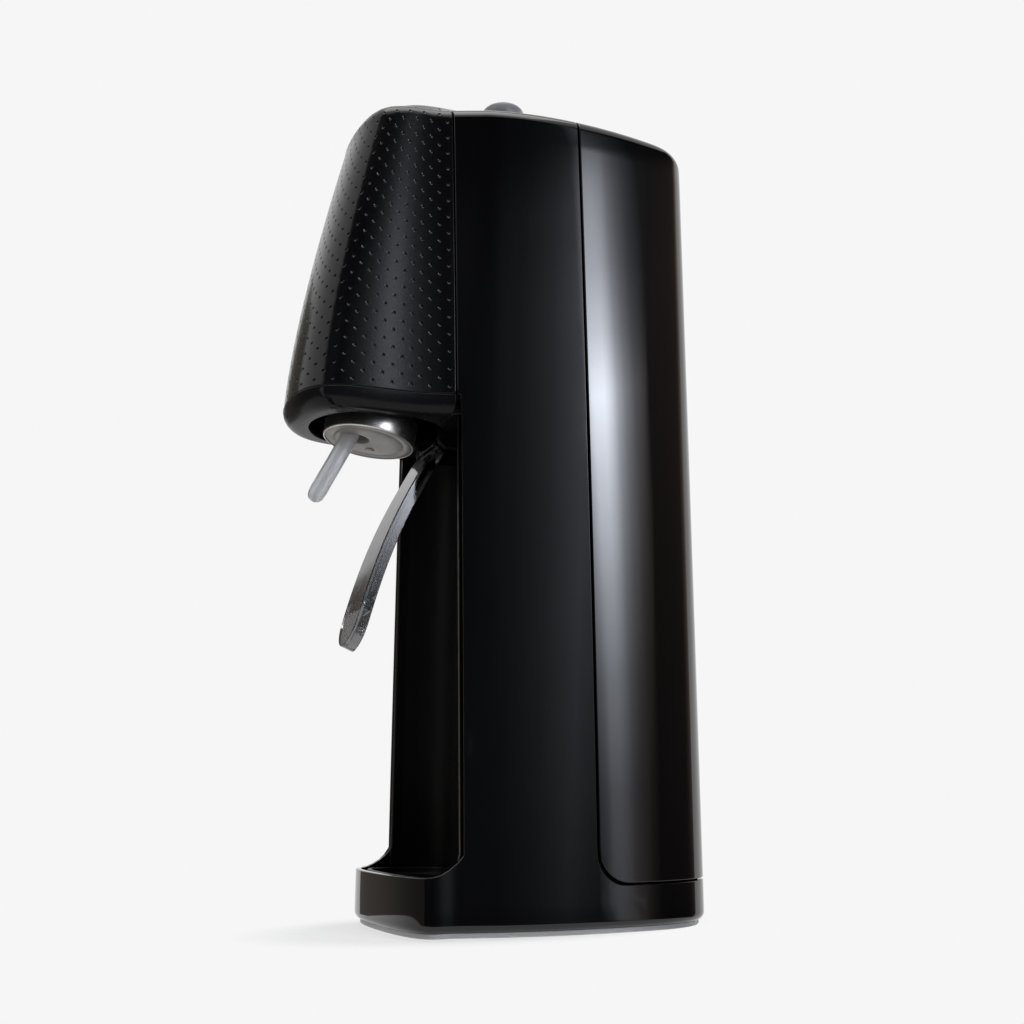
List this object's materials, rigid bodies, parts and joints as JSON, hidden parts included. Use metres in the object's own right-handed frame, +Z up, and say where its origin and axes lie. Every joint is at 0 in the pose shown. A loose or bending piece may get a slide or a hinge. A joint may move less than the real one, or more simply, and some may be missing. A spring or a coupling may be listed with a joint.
{
  "type": "sparkling water maker",
  "caption": "Free-standing sparkling water maker: tower body with forward head, bottle bay, tilting nozzle with dip tube, swinging bottle lever, top button and hidden gas cylinder.",
  "frame": {"origin": "middle of the footprint on the surface it stands on", "axes": "+Z up, front towards -Y, +X to the object's left"},
  "size_m": [0.1344, 0.216, 0.4558],
  "materials": {
    "gloss_black": "polished black moulded plastic",
    "dark_grey": "satin dark grey plastic",
    "button_grey": "satin mid grey plastic",
    "steel": "fine turned steel",
    "rubber": "matt rubber",
    "pale_seal": "pale silicone",
    "clear_white": "milky clear plastic",
    "clear_grey": "smoke grey clear plastic",
    "aluminium": "satin aluminium",
    "brass": "machined brass"
  },
  "bodies": {
    "frame": {"housing": "gloss_black", "front_panel": "gloss_black", "head_underside": "dark_grey", "bay_liner": "gloss_black", "base_plate": "dark_grey", "foot_front_left": "rubber", "foot_front_right": "rubber", "foot_rear_left": "rubber", "foot_rear_right": "rubber", "hinge_pin_left": "steel", "hinge_pin_right": "steel", "lever_pin": "steel", "button_collar": "dark_grey", "button_spring": "steel", "lever_axle": "steel", "gas_block": "aluminium", "relief_valve": "brass", "gas_hose": "dark_grey", "cylinder_cradle": "dark_grey", "chassis": "dark_grey", "base_screw_1": "steel", "base_screw_2": "steel", "base_screw_3": "steel", "base_screw_4": "steel"},
    "rear_cover": {"rear_cover": "gloss_black"},
    "tray": {"drip_tray": "gloss_black"},
    "nozzle": {"steel_ring": "steel", "bottle_seal": "pale_seal", "nozzle_carriage": "dark_grey"},
    "tube": {"carbonation_tube": "clear_white", "tube_holder": "dark_grey"},
    "bottle_lever": {"bottle_lever": "clear_grey"},
    "button": {"button_cap": "button_grey", "button_rod": "button_grey"},
    "actuator": {"actuator_lever": "steel"},
    "valve_pin": {"valve_pin": "steel"},
    "cylinder": {"gas_cylinder": "aluminium", "cylinder_valve": "brass"}
  },
  "joints": [
    {"name": "button_press", "type": "slide", "parent": "frame", "child": "button", "axis": [0, 0, -1], "range_m": [0, 0.004], "stiffness_N_per_m": 600, "springref_m": -0.003, "deforming": ["button_spring"]},
    {"name": "actuator_swing", "type": "hinge", "parent": "frame", "child": "actuator", "pos_m": [0, 0.0745, 0.392], "axis": [1, 0, 0], "range_deg": [0, 3.74]},
    {"name": "valve_pin_press", "type": "slide", "parent": "frame", "child": "valve_pin", "axis": [0, 0, -1], "range_m": [0, 0.00131]},
    {"name": "bottle_lever_swing", "type": "hinge", "parent": "frame", "child": "bottle_lever", "pos_m": [0, -0.0275, 0.242], "axis": [1, 0, 0], "range_deg": [0, 29]},
    {"name": "nozzle_tilt", "type": "hinge", "parent": "frame", "child": "nozzle", "pos_m": [0, -0.03805, 0.26773], "axis": [1, 0, 0], "range_deg": [0, 9.01]},
    {"name": "tube_tilt", "type": "hinge", "parent": "nozzle", "child": "tube", "pos_m": [0, -0.06917, 0.25342], "axis": [1, 0, 0], "range_deg": [0, 17.91]},
    {"name": "tray_lift", "type": "slide", "parent": "frame", "child": "tray", "axis": [0, 0, 1], "range_m": [0, 0.06]},
    {"name": "rear_cover_off", "type": "slide", "parent": "frame", "child": "rear_cover", "axis": [0, 1, 0], "range_m": [0, 0.12]},
    {"name": "cylinder_turn", "type": "hinge", "parent": "frame", "child": "cylinder", "pos_m": [0, 0.0545, 0.2], "axis": [0, 0, 1], "range_deg": [0, 720]}
  ],
  "couplings": [
    {"joint": "actuator_swing", "follows": "button_press", "rad_per_m": 16.26},
    {"joint": "valve_pin_press", "follows": "button_press", "ratio": 0.3252},
    {"joint": "nozzle_tilt", "follows": "bottle_lever_swing", "ratio": 0.31034},
    {"joint": "tube_tilt", "follows": "bottle_lever_swing", "ratio": 0.61724}
  ]
}
